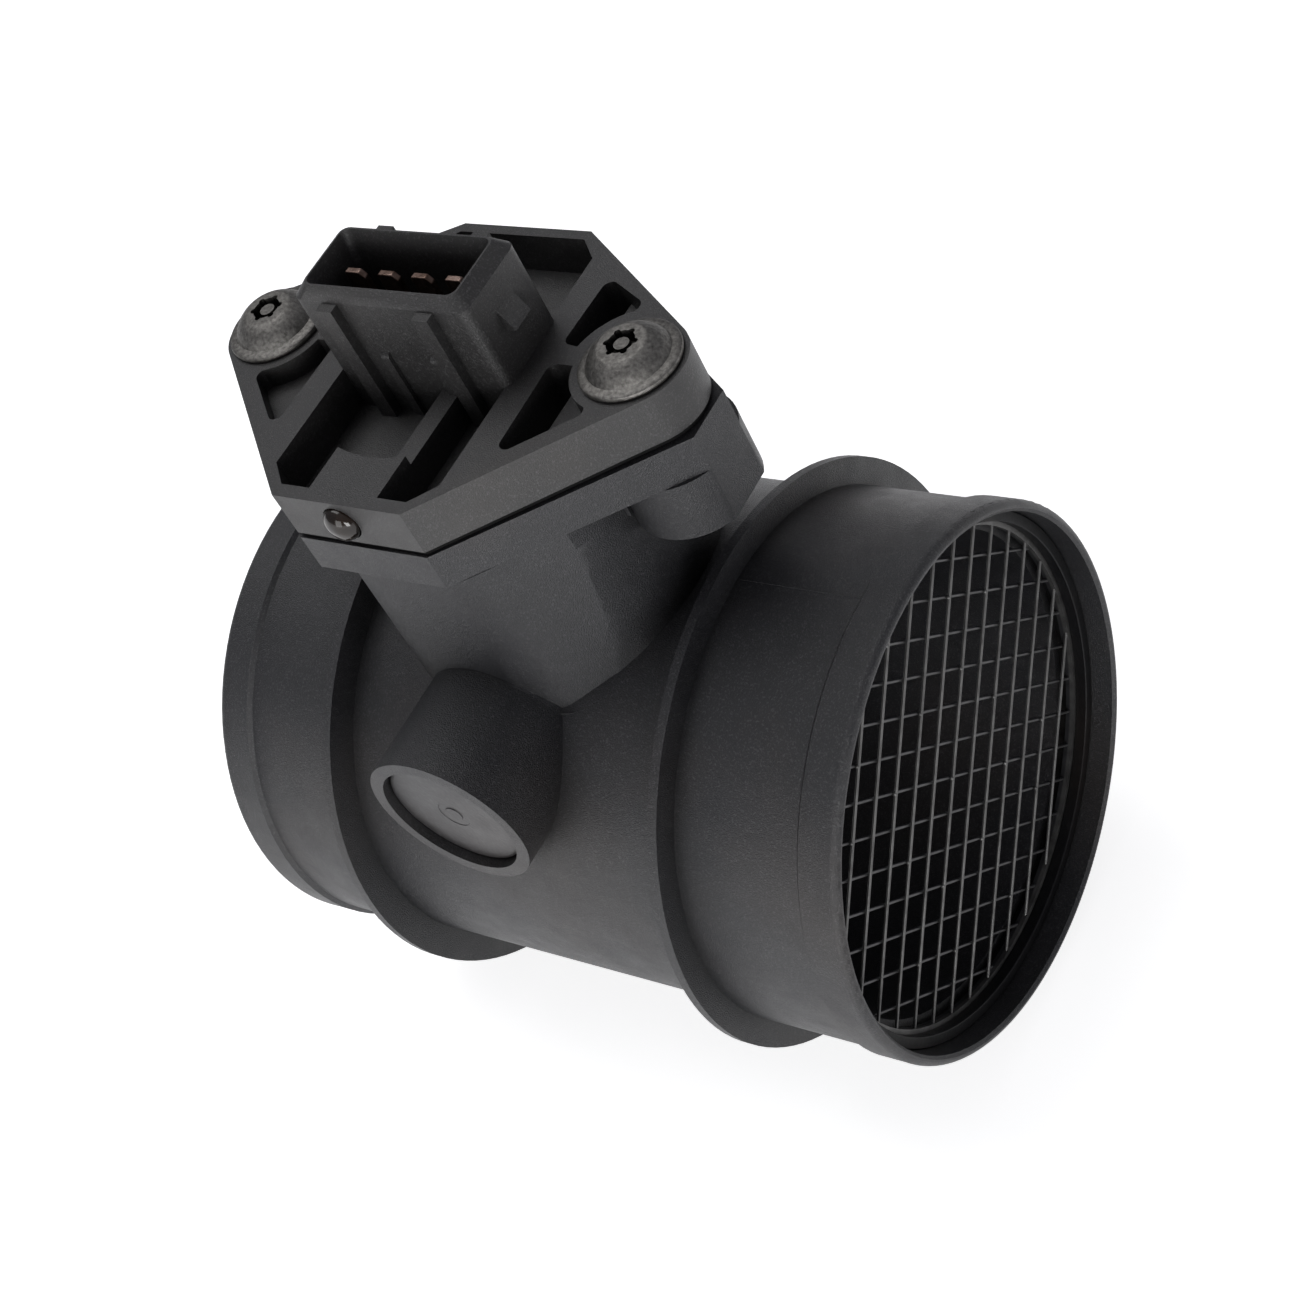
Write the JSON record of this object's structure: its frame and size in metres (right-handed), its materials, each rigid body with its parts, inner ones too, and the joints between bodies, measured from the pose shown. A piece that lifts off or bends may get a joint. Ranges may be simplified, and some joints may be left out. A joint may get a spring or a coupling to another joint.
{
  "type": "mass air flow sensor",
  "caption": "Mass air flow sensor: a round duct with hose spigots and wire screens, a sensing tube on its axis, and a screwed cover with an electrical connector.",
  "frame": {"origin": "on the duct's axis, at the middle of the crest of the outlet spigot's lip", "axes": "+X along the duct from outlet to inlet, +Z from the duct to the cover, the adjuster boss points to -Y"},
  "size_m": [0.0967, 0.0756, 0.1168],
  "materials": {
    "housing_plastic": "fine grained",
    "cover_plastic": "smooth moulded",
    "carrier_plastic": "smooth moulded",
    "ring_plastic": "smooth moulded",
    "plug_plastic": "satin",
    "seal_rubber": "matt",
    "terminal_bronze": "dark bronze",
    "screw_steel": "dull plated",
    "insert_brass": "plain",
    "bead_resin": "gloss",
    "screen_wire": "drawn wire",
    "film_ceramic": "smooth",
    "board_ceramic": "smooth",
    "plate_aluminium": "plain"
  },
  "bodies": {
    "root": {"duct_housing": "housing_plastic", "connector_cover": "cover_plastic", "cover_seal": "seal_rubber", "terminal_1": "terminal_bronze", "terminal_2": "terminal_bronze", "terminal_3": "terminal_bronze", "terminal_4": "terminal_bronze", "security_screw_left": "screw_steel", "security_screw_right": "screw_steel", "threaded_insert_left": "insert_brass", "threaded_insert_right": "insert_brass", "sealing_bead": "bead_resin", "inlet_screen": "screen_wire", "outlet_screen": "screen_wire", "inlet_retaining_ring": "ring_plastic", "outlet_retaining_ring": "ring_plastic", "inlet_spacer_ring": "ring_plastic", "outlet_spacer_ring": "ring_plastic", "blanking_plug": "plug_plastic", "trimming_potentiometer": "cover_plastic", "adjusting_screw": "insert_brass", "sensor_carrier": "carrier_plastic", "stem_seal": "seal_rubber", "hot_film_element": "film_ceramic", "air_temperature_sensor": "bead_resin", "heat_sink_plate": "plate_aluminium", "circuit_board": "board_ceramic"}
  },
  "joints": []
}
